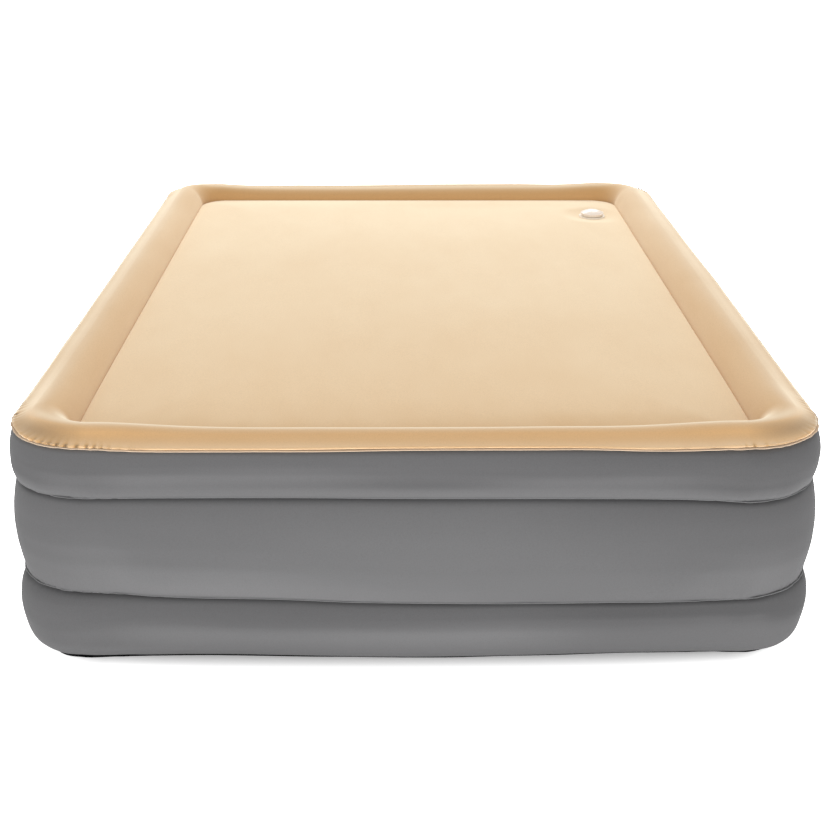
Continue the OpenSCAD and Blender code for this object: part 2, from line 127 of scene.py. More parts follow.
def seam_to_seam(length, first, growth, largest):
    """Distances from one seam to the other, dense at both."""
    h, step, out = 0.0, first, [0.0]
    while h < length / 2:
        h += step
        step = min(step * growth, largest)
        if h < length / 2:
            out.append(h)
    half = np.array(out)
    middle = [length / 2] if (length / 2 - half[-1]) > first * 0.5 else []
    return np.concatenate([half, middle, length - half[::-1]])


class Outline:
    """Samples anticlockwise round the bed: dense at the corners, graded along the straights.

    Columns: x, y lie on the rectangle through the corner centres, nx, ny is the outward normal,
    along the distance run, near the closeness to a corner (0..1), wide the same reaching further.
    """

    def __init__(self, radius, fine, coarse):
        def graded(length):
            t, out = 0.0, [0.0]
            while t < length / 2:
                t += min(coarse, fine + max(0.0, t - CORNER_FADE * 0.5) * 0.12)
                if t < length / 2:
                    out.append(t)
            half = np.array(out)
            return np.concatenate([half, length - half[::-1]])

        rows, run = [], 0.0
        arc = radius * math.pi / 2
        arc_steps = int(math.ceil(arc / fine))
        # start, direction, normal and length of each side
        sides = [((CORNER_X, -CORNER_Y), (0, 1), (1, 0), 2 * CORNER_Y),
                 ((CORNER_X, CORNER_Y), (-1, 0), (0, 1), 2 * CORNER_X),
                 ((-CORNER_X, CORNER_Y), (0, -1), (-1, 0), 2 * CORNER_Y),
                 ((-CORNER_X, -CORNER_Y), (1, 0), (0, -1), 2 * CORNER_X)]
        for start, way, normal, length in sides:
            for t in graded(length)[:-1]:
                near = float(np.exp(-(min(t, length - t) / CORNER_FADE) ** 1.6))
                rows.append((start[0] + way[0] * t, start[1] + way[1] * t, *normal, run + t, near))
            run += length
            angle0 = math.atan2(normal[1], normal[0])
            end = (start[0] + way[0] * length, start[1] + way[1] * length)
            for i in range(arc_steps):
                angle = angle0 + math.pi / 2 * i / arc_steps
                rows.append((*end, math.cos(angle), math.sin(angle),
                             run + radius * math.pi / 2 * i / arc_steps, 1.0))
            run += arc
        columns = np.array(rows).T[:, :, None]
        self.x, self.y, self.nx, self.ny, self.along, self.near = columns
        from_corner = np.maximum(CORNER_X - np.abs(self.x), CORNER_Y - np.abs(self.y))
        self.wide = np.exp(-(from_corner / 0.15) ** 2)
        self.length = run


def wander(path, seed, step):
    """Smooth periodic noise round the outline, -1..1."""
    count = max(4, int(round(path.length / step)))
    values = np.random.RandomState(seed).uniform(-1, 1, count)
    t = (path.along / path.length) * count
    i = np.floor(t).astype(int)
    f = t - i
    p = [values[(i + k) % count] for k in (-1, 0, 1, 2)]
    return p[1] + 0.5 * f * (p[2] - p[0] + f * (
        2 * p[0] - 5 * p[1] + 4 * p[2] - p[3] + f * (3 * (p[1] - p[2]) + p[3] - p[0])))


def creases(path, seed, pitch):
    """Irregular row of gathers: 0 on the bulges, about -1 in the creases."""
    shift = wander(path, seed, pitch * 2.7)
    broad = wander(path, seed + 1, pitch * 4.3)
    short = wander(path, seed + 2, pitch * 1.1)
    turns = round(path.length / pitch)
    phase = math.pi * turns * path.along / path.length + 1.15 * shift
    depth = np.clip(0.55 + 0.6 * broad + 0.25 * short, 0.05, 1.2)
    return -depth * (1 - np.abs(np.sin(phase)) ** 0.62)


# ---------------------------------------------------------------- mesh helpers
def add_object(name, mesh, material=None):
    ob = bpy.data.objects.new(name, mesh)
    bpy.context.scene.collection.objects.link(ob)
    if material:
        mesh.materials.append(material)
    return ob


def smooth_faces(mesh):
    mesh.polygons.foreach_set("use_smooth", np.ones(len(mesh.polygons), bool))


def read_points(mesh):
    points = np.empty(len(mesh.vertices) * 3, np.float32)
    mesh.vertices.foreach_get("co", points)
    return points.reshape(-1, 3)


def sweep(name, profile, path, shift, material):
    """Sweeps a closed profile (x, z) round the path; shift(path, profile) gives dx and dz."""
    profile = np.asarray(profile, float)
    samples, rows = len(path.along), len(profile)
    dx, dz = shift(path, profile)
    out = profile[:, 0] - CORNER_X + dx
    points = np.stack([path.x + path.nx * out, path.y + path.ny * out, profile[:, 1] + dz], -1)
    points = points.reshape(-1, 3)
    i = np.arange(samples)[:, None]
    j = np.arange(rows)[None, :]
    i2, j2 = (i + 1) % samples, (j + 1) % rows
    faces = np.stack([i * rows + j, i2 * rows + j, i2 * rows + j2, i * rows + j2], -1)
    faces = faces.reshape(-1, 4).astype(np.int32)
    a, b, c, d = (points[faces[:, k]] for k in range(4))
    volume = (a * np.cross(b, c)).sum() + (a * np.cross(c, d)).sum()
    if volume < 0:
        faces = faces[:, ::-1]

    mesh = bpy.data.meshes.new(name)
    mesh.vertices.add(len(points))
    mesh.vertices.foreach_set("co", points.astype(np.float32).ravel())
    mesh.loops.add(faces.size)
    mesh.loops.foreach_set("vertex_index", faces.ravel())
    mesh.polygons.add(len(faces))
    mesh.polygons.foreach_set("loop_start", np.arange(0, faces.size, 4, dtype=np.int32))
    mesh.polygons.foreach_set("loop_total", np.full(len(faces), 4, np.int32))
    mesh.update(calc_edges=True)
    mesh.validate()
    smooth_faces(mesh)
    return add_object(name, mesh, material)


def bands(loops, count):
    """Quads between successive closed loops of count points each."""
    faces = []
    for b in range(loops - 1):
        for k in range(count):
            k2 = (k + 1) % count
            faces.append((b * count + k, b * count + k2, (b + 1) * count + k2, (b + 1) * count + k))
    return faces


def mesh_from_bmesh(bm, name):
    mesh = bpy.data.meshes.new(name)
    bm.to_mesh(mesh)
    bm.free()
    return mesh


def cut(ob, cutter):
    """Subtracts the cutter from the object and discards it."""
    modifier = ob.modifiers.new("cut", "BOOLEAN")
    modifier.operation = "DIFFERENCE"
    modifier.object = cutter
    modifier.solver = "EXACT"
    depsgraph = bpy.context.evaluated_depsgraph_get()
    mesh = bpy.data.meshes.new_from_object(ob.evaluated_get(depsgraph))
    old = ob.data
    ob.modifiers.clear()
    ob.data = mesh
    bpy.data.meshes.remove(old)
    bpy.data.objects.remove(cutter)


def set_painted_shading(ob, shade):
    """Stores the painted light and shade map: above 0 paints the flock paler, below 0 darker."""
    x, y, z = read_points(ob.data).astype(float).T
    attribute = ob.data.attributes.new("painted_shading", "FLOAT", "POINT")
    attribute.data.foreach_set("value", np.asarray(shade(x, y, z), np.float32))


# ---------------------------------------------------------------- materials
materials = {}


class Shader:
    """A new material's nodes round its Principled BSDF, textured in object coordinates."""

    def __init__(self, name, rgb, rough, specular, metallic=0.0):
        material = bpy.data.materials.new(name)
        material.use_nodes = True
        material.diffuse_color = (*rgb, 1)
        materials[name] = material
        self.tree = material.node_tree
        self.bsdf = self.tree.nodes["Principled BSDF"]
        self.surface("Base Color", rgb)
        self.surface("Roughness", rough)
        self.surface("Specular IOR Level", specular)
        self.surface("Metallic", metallic)
        self.coords = self.node("TexCoord").outputs["Object"]

    def node(self, kind):
        return self.tree.nodes.new("ShaderNode" + kind)

    def feed(self, socket, value):
        """Links an output to the socket, or sets a number or an RGB colour on it."""
        if isinstance(value, bpy.types.NodeSocket):
            self.tree.links.new(value, socket)
        elif isinstance(value, tuple):
            socket.default_value = (*value, 1)
        else:
            socket.default_value = value

    def surface(self, socket, value):
        self.feed(self.bsdf.inputs[socket], value)

    def noise(self, scale, detail, rough=0.5, stretch=None):
        texture = self.node("TexNoise")
        texture.inputs["Scale"].default_value = scale
        texture.inputs["Detail"].default_value = detail
        texture.inputs["Roughness"].default_value = rough
        coords = self.coords
        if stretch is not None:
            mapping = self.node("Mapping")
            mapping.inputs["Scale"].default_value = stretch
            self.feed(mapping.inputs["Vector"], coords)
            coords = mapping.outputs["Vector"]
        self.feed(texture.inputs["Vector"], coords)
        return texture.outputs["Fac"]

    def ramp(self, value, stops):
        """Grey ramp; stops are (position, brightness)."""
        node = self.node("ValToRGB")
        elements = node.color_ramp.elements
        while len(elements) < len(stops):
            elements.new(0.5)
        for k, (position, grey) in enumerate(stops):
            elements[k].position = position
            elements[k].color = (grey, grey, grey, 1)
        self.feed(node.inputs["Fac"], value)
        return node.outputs["Color"]

    def mix(self, factor, a, b, mode="MIX"):
        node = self.node("Mix")
        node.data_type = "RGBA"
        node.blend_type = mode
        # the factor and the two colour sockets of an RGBA mix
        for index, value in ((0, factor), (6, a), (7, b)):
            self.feed(node.inputs[index], value)
        return node.outputs[2]

    def math(self, operation, a, b=0.0, clamp=False):
        node = self.node("Math")
        node.operation = operation
        node.use_clamp = clamp
        self.feed(node.inputs[0], a)
        self.feed(node.inputs[1], b)
        return node.outputs[0]

    def scaled(self, value, gain, offset, clamp=False):
        return self.math("ADD", self.math("MULTIPLY", value, gain), offset, clamp)

    def bump(self, heights, strength, distance):
        """heights: (output, weight) pairs, summed."""
        total = None
        for height, weight in heights:
            term = self.math("MULTIPLY", height, weight)
            total = term if total is None else self.math("ADD", total, term)
        node = self.node("Bump")
        node.inputs["Strength"].default_value = strength
        node.inputs["Distance"].default_value = distance
        self.feed(node.inputs["Height"], total)
        self.surface("Normal", node.outputs["Normal"])


def tinted(rgb, gain, lift=0.0):
    return tuple(min(1, c * gain + lift) for c in rgb)


# painted light and shade by facing: (facing: 0 floor, 0.5 upright, 1 sky; brightness), brightest on
# faces turned down to the floor
FACING_PAINTED_SHADE = [(0.05, 0.94), (0.20, 0.97), (0.30, 1.0), (0.37, 1.0), (0.41, 0.96),
                (0.455, 0.86), (0.49, 0.77), (0.53, 0.75), (0.66, 0.85)]


def flock(name, rgb, pale, deep, painted_sheen, sheen=0.1, down=False):
    """Short velvet pile: rgb is seen face-on, painted sheen makes it pale at grazing views, deep in
    brushed patches.

    painted_sheen: (cosine of the viewing angle, share of pale painted in)
    """
    s = Shader(name, rgb, rough=0.92, specular=0.10)
    broad = s.noise(scale=2.2, detail=3)
    hand = s.noise(scale=9.0, detail=4, rough=0.6, stretch=(1.0, 0.5, 2.0))
    pile = s.noise(scale=420.0, detail=3, rough=0.7)
    grain = s.noise(scale=1500.0, detail=2, rough=0.6)
    base = s.mix(s.ramp(broad, [(0.35, 0), (0.65, 1)]), deep, rgb)
    geometry = s.node("NewGeometry")
    dot = s.node("VectorMath")
    dot.operation = "DOT_PRODUCT"
    s.feed(dot.inputs[0], geometry.outputs["Normal"])
    s.feed(dot.inputs[1], geometry.outputs["Incoming"])
    facing = s.math("ABSOLUTE", dot.outputs["Value"])
    # noise shifts where the painted sheen makes the cloth pale, as though the pile leaned a little
    # either way
    lean = s.math("MULTIPLY", s.math("SUBTRACT", hand, 0.5), 0.09)
    base = s.mix(s.ramp(s.math("ADD", facing, lean), painted_sheen), base, pale)
    # painted light and shade: faces turned towards the floor paler, upright ones darker
    if down:
        normal = s.node("SeparateXYZ")
        s.feed(normal.inputs[0], geometry.outputs["Normal"])
        upward = s.scaled(normal.outputs[2], gain=0.5, offset=0.5, clamp=True)
        base = s.mix(1.0, base, s.ramp(upward, FACING_PAINTED_SHADE), "MULTIPLY")
    fleck = s.ramp(pile, [(0.30, 0.93), (0.5, 1), (0.72, 1.05)])
    base = s.mix(1.0, base, fleck, "MULTIPLY")
    # the painted light and shade map, where a piece carries one
    attribute = s.node("Attribute")
    attribute.attribute_name = "painted_shading"
    painted_shading = attribute.outputs["Fac"]
    base = s.mix(s.math("MAXIMUM", painted_shading, 0.0), base, pale)
    base = s.mix(1.0, base, s.math("ADD", s.math("MINIMUM", painted_shading, 0.0), 1.0), "MULTIPLY")
    s.surface("Base Color", base)
    s.surface("Sheen Weight", sheen)
    s.surface("Sheen Roughness", 0.6)
    s.surface("Sheen Tint", (1, 0.97, 0.92))
    s.surface("Roughness", s.scaled(grain, gain=0.12, offset=0.84))
    s.bump([(pile, 0.6), (grain, 0.4)], strength=0.30, distance=0.0008)


def vinyl(name, rgb, rough, specular):
    s = Shader(name, rgb, rough, specular)
    cloud = s.noise(scale=14, detail=4, rough=0.6)
    grain = s.noise(scale=600, detail=3, rough=0.6)
    s.surface("Base Color", s.mix(cloud, tinted(rgb, 0.82), tinted(rgb, 1.15)))
    s.surface("Roughness", s.scaled(cloud, gain=0.25, offset=rough - 0.12))
    s.bump([(cloud, 0.6), (grain, 0.4)], strength=0.3, distance=0.0008)


def plastic(name, rgb, rough, grain=900, depth=0.00025, vary=0.06):
    """Moulded plastic with a spark-eroded texture, paler along convex edges."""
    s = Shader(name, rgb, rough, specular=0.5)
    cloud = s.noise(scale=35, detail=3)
    texture = s.noise(scale=grain, detail=2, rough=0.6)
    base = s.mix(cloud, tinted(rgb, 1 - vary), tinted(rgb, 1 + vary))
    geometry = s.node("NewGeometry")
    edge = s.ramp(geometry.outputs["Pointiness"], [(0.50, 0), (0.60, 1)])
    base = s.mix(s.math("MULTIPLY", edge, 0.22), base, tinted(rgb, 1.5, lift=0.04))
    s.surface("Base Color", base)
    s.surface("Roughness", s.scaled(texture, gain=0.18, offset=rough - 0.09))
    s.bump([(texture, 1.0)], strength=0.4, distance=depth)


def rubber(name, rgb, rough):
    s = Shader(name, rgb, rough, specular=0.3)
    cloud = s.noise(scale=60, detail=4, rough=0.6)
    grain = s.noise(scale=1200, detail=2)
    s.surface("Base Color", s.mix(cloud, tinted(rgb, 0.8), tinted(rgb, 1.6, lift=0.01)))
    s.surface("Roughness", s.scaled(cloud, gain=0.2, offset=rough - 0.1))
    s.bump([(grain, 1.0)], strength=0.3, distance=0.0002)


def steel(name, rgb, rough):
    s = Shader(name, rgb, rough, specular=0.5, metallic=1.0)
    brushing = s.noise(scale=40, detail=4, rough=0.6, stretch=(1, 1, 60))
    cloud = s.noise(scale=25, detail=3)
    s.surface("Base Color", s.mix(cloud, tinted(rgb, 0.85), rgb))
    s.surface("Roughness", s.scaled(brushing, gain=0.25, offset=rough - 0.12))
    s.bump([(brushing, 1.0)], strength=0.25, distance=0.0001)


def foam(name, rgb):
    s = Shader(name, rgb, rough=0.95, specular=0.1)
    cells = s.node("TexVoronoi")
    cells.inputs["Scale"].default_value = 450
    s.feed(cells.inputs["Vector"], s.coords)
    distance = cells.outputs["Distance"]
    shade = s.ramp(distance, [(0.0, 0.55), (0.35, 1)])
    s.surface("Base Color", s.mix(1.0, rgb, shade, "MULTIPLY"))
    s.bump([(distance, 1.0)], strength=0.5, distance=0.0015)


# painted sheen for three lengths of pile: (cosine of the viewing angle, share of pale painted in)
PANEL_PAINTED_SHEEN = [(0.0, 1.0), (0.20, 0.90), (0.31, 0.62), (0.42, 0.38), (0.50, 0.13), (0.62, 0.03),
              (1.0, 0.0)]
RIM_PAINTED_SHEEN = [(0.0, 1.0), (0.10, 0.90), (0.20, 0.66), (0.30, 0.42), (0.40, 0.27), (0.52, 0.17),
            (0.64, 0.11), (0.78, 0.05), (0.92, 0.0)]
WALL_PAINTED_SHEEN = [(0.0, 1.0), (0.10, 0.65), (0.25, 0.22), (0.45, 0.04), (0.60, 0.0), (1.0, 0.0)]
GREY = (0.110, 0.109, 0.111)

flock("tan_flock", (0.665, 0.418, 0.198), pale=(0.95, 0.805, 0.585), deep=(0.655, 0.408, 0.192),
      painted_sheen=PANEL_PAINTED_SHEEN)
flock("rim_flock", (0.610, 0.365, 0.162), pale=(0.96, 0.83, 0.63), deep=(0.600, 0.358, 0.158),
      painted_sheen=RIM_PAINTED_SHEEN)
# one grey in three copies with their own gain: painted light and shade per tier
for name, gain in (("grey_flock", 1.17), ("grey_flock_top_shade", 0.99), ("grey_flock_low_shade", 1.06)):
    grey = tinted(GREY, gain)
    flock(name, grey, pale=tinted(grey, 1.06), deep=tinted(grey, 0.97), painted_sheen=WALL_PAINTED_SHEEN,
          sheen=0.0, down=True)
vinyl("tan_lip", (0.56, 0.43, 0.31), rough=0.6, specular=0.2)
# paler than the tiers' grey: its own vinyl tone with a painted highlight along the waist lips
vinyl("grey_lip", (0.15, 0.15, 0.152), rough=0.6, specular=0.2)
vinyl("bottom_vinyl", (0.010, 0.010, 0.011), rough=0.85, specular=0.04)
vinyl("clear_vinyl", (0.60, 0.64, 0.68), rough=0.35, specular=0.5)
vinyl("grey_vinyl", (0.16, 0.16, 0.165), rough=0.5, specular=0.35)
foam("foam", (0.85, 0.72, 0.32))
foam("foam_dark", (0.05, 0.05, 0.06))
plastic("valve_plastic", (0.90, 0.80, 0.66), rough=0.38)
plastic("cap_plastic", (0.88, 0.77, 0.66), rough=0.30, grain=1400, depth=0.00008, vary=0.02)
plastic("housing_plastic", (0.62, 0.62, 0.61), rough=0.5)
plastic("face_plastic", (0.085, 0.085, 0.090), rough=0.5)
plastic("knob_plastic", (0.030, 0.030, 0.033), rough=0.42)
plastic("rocker_plastic", (0.42, 0.03, 0.02), rough=0.28, grain=1400, depth=0.0001)
plastic("fan_plastic", (0.82, 0.82, 0.80), rough=0.35)
plastic("wire_jacket", (0.45, 0.02, 0.015), rough=0.4)
rubber("seal_rubber", (0.025, 0.025, 0.026), rough=0.7)
rubber("cord_rubber", (0.018, 0.018, 0.018), rough=0.55)
rubber("plug_rubber", (0.02, 0.02, 0.022), rough=0.6)
steel("pin_steel", (0.62, 0.62, 0.62), rough=0.32)
steel("motor_steel", (0.48, 0.49, 0.50), rough=0.38)

slot_of = {s["node"]: s["material_slot"] for s in frame["record"]["subparts"]}
for node_name, ob in nodes.items():
    material = materials[slot_of[node_name]]
    if ob.data.materials:
        for k in range(len(ob.data.materials)):
            ob.data.materials[k] = material
    else:
        ob.data.materials.append(material)


# ---------------------------------------------------------------- how the seams stray
def bow(foot, head, left=(0.0, 0.0, 0.0), right=(0.0, 0.0, 0.0), foot_corners=(0.0, 0.0)):
    """How far a seam strays outwards from the plain rounded rectangle.

    foot, head: (x as a share of CORNER_X, shift) knots across the ends. left, right: shifts at the
    foot, middle and head of the long sides. foot_corners: shifts of the left and right one.
    """
    def shift(path):
        x, y = path.x / CORNER_X, path.y / CORNER_Y
        nx, ny = path.nx, path.ny
        on_left, on_right = (np.interp(y, (-1, 0, 1), side) for side in (left, right))
        side = np.where(nx < 0, on_left, on_right) * (1 - ny ** 2)
        corner = np.where(ny < 0, np.where(nx < 0, *foot_corners), 0.0)
        side = side + corner * 4 * (ny * nx) ** 2
        end = np.where(ny < 0, pchip(*np.transpose(foot), x), pchip(*np.transpose(head), x))
        return end * ny ** 2 + side
    return shift


bottom_bow = bow(
    foot=[(-1.0, -0.033), (-0.68, -0.036), (-0.34, -0.030), (0.0, -0.025), (0.34, -0.029),
          (0.68, -0.038), (1.0, -0.041)],
    head=[(-1.0, -0.012), (-0.35, 0.0), (0.35, 0.0), (1.0, -0.012)],
    left=(0.000, -0.001, -0.001), right=(-0.001, -0.002, -0.002), foot_corners=(0.013, 0.010))
low_bow = bow(
    foot=[(-1.0, -0.033), (-0.76, -0.018), (-0.42, -0.009), (-0.17, 0.003), (0.17, 0.009),
          (0.42, 0.009), (0.68, 0.008), (1.0, 0.000)],
    head=[(-1.0, -0.010), (-0.35, 0.0), (0.35, 0.0), (1.0, -0.010)],
    left=(0.003, 0.003, 0.003), right=(0.003, 0.003, 0.003))
up_bow = bow(
    foot=[(-1.0, -0.016), (-0.68, -0.018), (-0.34, -0.017), (0.0, -0.013), (0.34, -0.012),
          (0.8, -0.007), (1.0, 0.006)],
    head=[(-1.0, -0.004), (-0.35, 0.002), (0.35, 0.002), (1.0, -0.004)],
    left=(0.003, 0.003, 0.003), right=(-0.001, -0.001, -0.001))
top_bow = bow(
    foot=[(-1.0, -0.010), (-0.8, -0.004), (-0.4, -0.004), (0.0, -0.010), (0.45, -0.011),
          (0.75, -0.002), (1.0, -0.003)],
    head=[(-1.0, -0.001), (0.0, 0.001), (1.0, 0.0)],
    left=(-0.003, -0.007, -0.010), right=(-0.0035, 0.001, -0.005))

# (x as a share of CORNER_X, drop): the head end sits a little lower than the foot end
HEAD_DIP = [(-1.0, -0.012), (-0.9, -0.014), (-0.57, -0.0085), (0.05, -0.0060), (0.51, -0.0040),
            (0.84, -0.0090), (1.0, -0.008)]


def head_dip(path):
    dip = pchip(*np.transpose(HEAD_DIP), path.x / CORNER_X)
    return dip * np.where(path.ny > 0, path.ny ** 2, 0)


def seam_drift(seed, corner, dip=0.0, wobble=0.0010):
    """How far a seam wanders up or down; the pieces that meet at it share this."""
    return lambda path: (wobble * wander(path, seed, 0.16) + corner * path.near
                         + dip * head_dip(path))


def no_drift(path):
    return 0.0


low_drift = seam_drift(501, corner=0.001)
up_drift = seam_drift(502, corner=0.0004, wobble=0.0003)
top_drift = seam_drift(503, corner=0.0030, dip=1.0)

# ---------------------------------------------------------------- wall tiers
# each bulge: (share of the tier's height, x from the CAD wall's half width)
LOW_SHAPE = [(0.0, -0.0550), (0.05, -0.0395), (0.11, -0.0225), (0.21, -0.0085), (0.34, -0.0030),
             (0.60, 0.0012), (0.80, -0.0025), (0.92, -0.0092), (1.0, -0.0140)]
MID_SHAPE = [(0.0, -0.0085), (0.07, -0.0062), (0.21, -0.0022), (0.36, 0.0006), (0.51, 0.0010),
             (0.66, -0.0010), (0.81, -0.0058), (0.92, -0.0112), (1.0, -0.0160)]
TOP_SHAPE = [(0.0, -0.0058), (0.12, -0.0020), (0.28, 0.0004), (0.50, 0.0012), (0.66, -0.0004),
             (0.80, -0.0034), (0.91, -0.0062), (1.0, -0.0088)]


def tier_profile(z0, z1, half_width, shape, pinch, reach):
    """Stretched cloth; the upper seam pulls the last few millimetres in by pinch."""
    height = z1 - z0
    share, offset = np.transpose(shape)

    def face(levels, inset):
        z = z0 + levels
        x = pchip(z0 + share * height, half_width + offset, z)
        x = x - pinch * np.exp(-((z1 - z) / reach) ** 1.4)
        return np.stack([x - inset, z], 1)

    outer = face(seam_to_seam(height, first=0.0006, growth=1.28, largest=height / 24), 0.0)
    inner = face(seam_to_seam(height, first=0.0016, growth=1.7, largest=height / 10), SKIN)
    return np.concatenate([outer, inner[::-1]])


def tier_shift(seed, z0, z1, gathers, folds, drifts, bows):
    """Gathers at both seams, long folds into the corner bulges, and slow unevenness.

    gathers, drifts, bows: for the lower and the upper seam
    """
    gather_fade = 0.0085

    def shift(path, profile):
        z = profile[:, 1]
        height = z1 - z0
        above, below = z - z0, z1 - z
        t = np.clip(above / height, 0, 1)
        strength = 0.10 + 0.90 * path.near
        low_row, high_row = (creases(path, first, PITCH) + 0.5 * creases(path, first + 50, 0.043)
                             for first in (seed, seed + 7))
        dx = (gathers[0] * strength * low_row * np.exp(-above / gather_fade)
              + gathers[1] * strength * high_row * np.exp(-below / gather_fade))
        # long shallow folds, dying out over about a fifth of the height
        fade = 0.22 * height
        dx += folds * strength * (
            wander(path, seed + 11, 0.036) * np.exp(-(above / fade) ** 1.4)
            + wander(path, seed + 13, 0.036) * np.exp(-(below / fade) ** 1.4))
        # slow unevenness of the whole tier, largest at mid height
        slow, swing = wander(path, seed + 20, 0.34), wander(path, seed + 21, 0.20)
        dx += (0.0022 * slow + 0.0012 * swing * np.cos(2 * np.pi * above / height)) \
            * np.sin(np.pi * t)
        dz = drifts[0](path) * (1 - t) + drifts[1](path) * t
        return dx + bows[0](path) * (1 - t) + bows[1](path) * t, dz
    return shift


wall_path = Outline(0.168, FINE, COARSE)


def tier(name, material, seed, z0, z1, half_width, shape, pinch, reach, **shift):
    profile = tier_profile(z0, z1, half_width, shape, pinch, reach)
    return sweep(name, profile, wall_path, tier_shift(seed, z0, z1, **shift), materials[material])


lower = tier("lower_tier_skin", "grey_flock_low_shade", 101, low_min.z, low_max.z, low_max.x, LOW_SHAPE,
             pinch=0.0095, reach=0.0052, gathers=(0.0006, 0.0026), folds=0.0022,
             drifts=(no_drift, low_drift), bows=(bottom_bow, low_bow))
middle = tier("middle_tier_skin", "grey_flock", 201, mid_min.z, mid_max.z, mid_max.x, MID_SHAPE,
              pinch=0.0085, reach=0.0050, gathers=(0.0020, 0.0020), folds=0.0024,
              drifts=(low_drift, up_drift), bows=(low_bow, up_bow))
upper = tier("upper_tier_skin", "grey_flock_top_shade", 301, top_min.z, Z_WALL_TOP, top_max.x, TOP_SHAPE,
             pinch=0.0085, reach=0.0048, gathers=(0.0014, 0.0020), folds=0.0016,
             drifts=(up_drift, top_drift), bows=(up_bow, top_bow))


def pump_cutter(gap=0.0006, radius=0.0145, arc_steps=10):
    """Rounded block along y, a little larger than the pump's weld flange."""
    x0, x1 = pump_min.x - gap, pump_max.x + gap
    z0, z1 = pump_min.z - gap, pump_max.z + gap
    y0, y1 = pump_min.y - 0.02, pump_max.y + 0.03
    outline = []
    for cx, cz, start in ((x1 - radius, z1 - radius, 0), (x0 + radius, z1 - radius, 90),
                          (x0 + radius, z0 + radius, 180), (x1 - radius, z0 + radius, 270)):
        for k in range(arc_steps + 1):
            angle = math.radians(start + 90 * k / arc_steps)
            outline.append((cx + radius * math.cos(angle), cz + radius * math.sin(angle)))
    bm = bmesh.new()
    near = [bm.verts.new((x, y0, z)) for x, z in outline]
    far = [bm.verts.new((x, y1, z)) for x, z in outline]
    bm.faces.new(near)
    bm.faces.new(far[::-1])
    for k in range(len(outline)):
        k2 = (k + 1) % len(outline)
        bm.faces.new((near[k2], near[k], far[k], far[k2]))
    bmesh.ops.recalc_face_normals(bm, faces=bm.faces)
    return add_object("pump_cutter", mesh_from_bmesh(bm, "pump_cutter"))


cut(lower, pump_cutter())

# ---------------------------------------------------------------- weld lips at the seams
lip_path = Outline(0.160, FINE * 0.8, COARSE * 0.8)


def lip_profile(x0, x1, z, thick, droop):
    """Thin flat flange from x0 out to a rounded edge at x1."""
    xs = np.linspace(x0, x1 - thick / 2, 7)
    top = z + thick / 2 - droop * ((xs - x0) / (x1 - x0)) ** 2
    nose = np.array([[x1 - thick * 0.15, top[-1] - thick * 0.22], [x1, top[-1] - thick * 0.5],
                     [x1 - thick * 0.15, top[-1] - thick * 0.78]])
    return np.concatenate([np.stack([xs, top], 1), nose, np.stack([xs, top - thick], 1)[::-1]])


def lip(name, material, seed, seam_x, z, inside, outside, thick, drift, bow_of, lift, spread,
        ruffle_from=0.010, ruffle_to=0.0, quiet=0.12, droop=0.0):
    """inside, outside: how far the lip reaches from seam_x. lift, spread: size of the ruffles up
    and outwards, growing from ruffle_from inside the seam to ruffle_to outside it; quiet is their
    share left along the straights."""
    def shift(path, profile):
        x0, x1 = seam_x - ruffle_from, seam_x + ruffle_to
        k = np.clip((profile[:, 0] - x0) / (x1 - x0), 0, 1)
        gathers = creases(path, seed, PITCH) + 0.5
        strength = quiet + (1 - quiet) * path.near
        dz = drift(path) + strength * lift * (
            0.9 * gathers + 0.6 * wander(path, seed + 3, 0.011)) * k
        dx = (strength * spread * (0.8 * wander(path, seed + 5, 0.014) + 0.6 * gathers) * k
              + 0.0004 * wander(path, seed + 8, 0.09) * k)
        return dx + bow_of(path), dz

    profile = lip_profile(seam_x - inside, seam_x + outside, z, thick, droop)
    return sweep(name, profile, lip_path, shift, materials[material])


low_lip = lip("lower_waist_lip", "grey_lip", 701, mid_max.x + MID_SHAPE[0][1],
              (low_max.z + mid_min.z) / 2 + 0.0004, inside=0.014, outside=0.0006, thick=0.0016,
              drift=low_drift, bow_of=low_bow, lift=0.0012, spread=0.0014)
up_lip = lip("upper_waist_lip", "grey_lip", 711, top_max.x + TOP_SHAPE[0][1],
             (mid_max.z + top_min.z) / 2 + 0.0012, inside=0.014, outside=0.0006, thick=0.0014,
             drift=up_drift, bow_of=up_bow, lift=0.0005, spread=0.0012)
top_lip = lip("top_seam_lip", "tan_lip", 721, top_max.x + TOP_SHAPE[-1][1], Z_SEAM - 0.0002,
              inside=0.0150, outside=0.0036, thick=0.0014, drift=top_drift, bow_of=top_bow,
              lift=0.0011, spread=0.0014, ruffle_from=0.004, ruffle_to=0.0038, quiet=0.14,
              droop=0.0003)

# ---------------------------------------------------------------- rim bolster
# (x, z) from the inner foot over the crest to the seam, for an outer edge at x = 0.756 and a
# crest at z = 0.480
RIM_OUTLINE = [
    (0.6405, 0.4140), (0.6410, 0.4240), (0.6432, 0.4345), (0.6484, 0.4480), (0.6562, 0.4600),
    (0.6668, 0.4703), (0.6790, 0.4772), (0.6900, 0.4806), (0.6995, 0.4810), (0.7080, 0.4798),
    (0.7160, 0.4773), (0.7240, 0.4751), (0.7320, 0.4732), (0.7400, 0.4717), (0.7470, 0.4704),
    (0.7512, 0.4695), (0.7527, 0.4686), (0.7518, 0.4677), (0.7485, 0.4673)]
RIM_GATHERS = dict(seed=907, pitch=0.0150)


